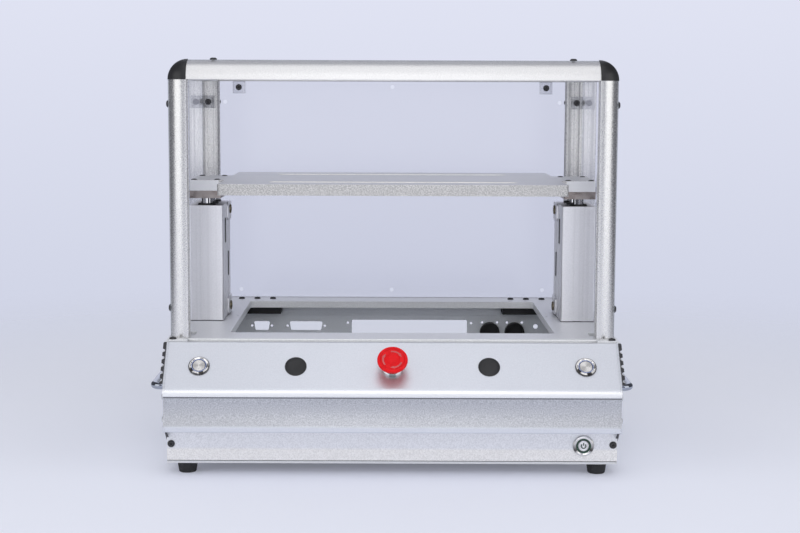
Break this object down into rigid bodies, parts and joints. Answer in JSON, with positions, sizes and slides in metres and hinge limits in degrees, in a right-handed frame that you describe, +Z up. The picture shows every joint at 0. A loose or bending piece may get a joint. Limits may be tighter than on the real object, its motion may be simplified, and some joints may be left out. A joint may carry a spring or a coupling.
{
  "type": "circuit board test press",
  "caption": "Desktop air press for testing circuit boards: aluminium base with sloped control panel, open deck, twin guided columns lifting a press plate, clear hood.",
  "frame": {"origin": "on the table, under the middle of the whole object's box", "axes": "+X to the operator's right, +Y to the back, +Z up"},
  "size_m": [0.546, 0.4056, 0.4337],
  "materials": {
    "base_silver": "bead-blasted, clear anodised",
    "hood_silver": "satin anodised",
    "column_silver": "satin anodised",
    "press_grey": "sand-blasted edge, fine matt top",
    "end_steel": "ground steel, oiled",
    "bright_metal": "polished",
    "switch_steel": "turned stainless steel",
    "clear_sheet": "clear acrylic",
    "black_fastener": "black oxide",
    "black_plastic": "moulded, fine grain",
    "black_block": "black anodised",
    "black_rubber": "matt",
    "stop_red": "moulded, satin",
    "blue_light": "frosted light ring",
    "green_light": "frosted light ring",
    "port_brass": "turned",
    "board_green": "solder mask",
    "valve_grey": "cast and painted"
  },
  "bodies": {
    "base": {"air_inlet": "port_brass", "base_screws": "black_fastener", "bottom_plate": "base_silver", "control_board": "board_green", "corner_caps": "black_plastic", "cylinder_caps": "black_plastic", "deck_brackets": "black_block", "deck_plate": "base_silver", "estop_collar": "bright_metal", "estop_contact_block": "black_plastic", "front_profile": "base_silver", "front_rail": "hood_silver", "hole_plugs": "black_plastic", "hood_screws": "black_fastener", "left_cylinder_body": "column_silver", "left_front_post": "hood_silver", "left_handle": "bright_metal", "left_rear_post": "hood_silver", "left_side_panel": "base_silver", "left_start_body": "switch_steel", "left_start_ring": "blue_light", "left_top_rail": "hood_silver", "left_window": "clear_sheet", "lower_front_panel": "base_silver", "port_plugs": "port_brass", "power_inlet": "black_plastic", "power_switch_body": "switch_steel", "power_switch_ring": "green_light", "rear_hole_plugs": "black_plastic", "rear_panel": "base_silver", "rear_rail": "hood_silver", "rear_window": "clear_sheet", "reed_sensors": "black_plastic", "right_cylinder_body": "column_silver", "right_front_post": "hood_silver", "right_handle": "bright_metal", "right_rear_post": "hood_silver", "right_side_panel": "base_silver", "right_start_body": "switch_steel", "right_start_ring": "blue_light", "right_top_rail": "hood_silver", "right_window": "clear_sheet", "rod_bushes": "black_plastic", "rubber_feet": "black_rubber", "solenoid_valve": "valve_grey", "switch_nuts": "switch_steel", "top_window": "clear_sheet", "window_blocks": "clear_sheet"},
    "press": {"press_plate": "press_grey", "left_end_plate": "end_steel", "right_end_plate": "end_steel", "left_piston_rod": "bright_metal", "right_piston_rod": "bright_metal", "guide_rods": "bright_metal", "press_screws": "black_fastener"},
    "left_start": {"left_start_cap": "switch_steel"},
    "right_start": {"right_start_cap": "switch_steel"},
    "power_switch": {"power_switch_cap": "switch_steel"},
    "stop_plunger": {"estop_stem": "bright_metal"},
    "stop_head": {"estop_head": "stop_red"}
  },
  "joints": [
    {"name": "press_lift", "type": "slide", "parent": "base", "child": "press", "axis": [0, 0, 1], "range_m": [0, 0.075]},
    {"name": "left_start_push", "type": "slide", "parent": "base", "child": "left_start", "axis": [0, 0.7314, -0.682], "range_m": [0, 0.002], "stiffness_N_per_m": 500, "springref_m": -0.002},
    {"name": "right_start_push", "type": "slide", "parent": "base", "child": "right_start", "axis": [0, 0.7314, -0.682], "range_m": [0, 0.002], "stiffness_N_per_m": 500, "springref_m": -0.002},
    {"name": "power_push", "type": "slide", "parent": "base", "child": "power_switch", "axis": [0, 1, 0], "range_m": [0, 0.002], "stiffness_N_per_m": 500, "springref_m": -0.002},
    {"name": "stop_push", "type": "slide", "parent": "base", "child": "stop_plunger", "axis": [0, 0.7314, -0.682], "range_m": [0, 0.004], "stiffness_N_per_m": 600, "springref_m": -0.003},
    {"name": "stop_twist", "type": "hinge", "parent": "stop_plunger", "child": "stop_head", "pos_m": [0, -0.17887, 0.11429], "axis": [0, -0.7314, 0.682], "range_deg": [-45, 0], "stiffness_Nm_per_rad": 0.05, "springref_deg": 11.46}
  ]
}
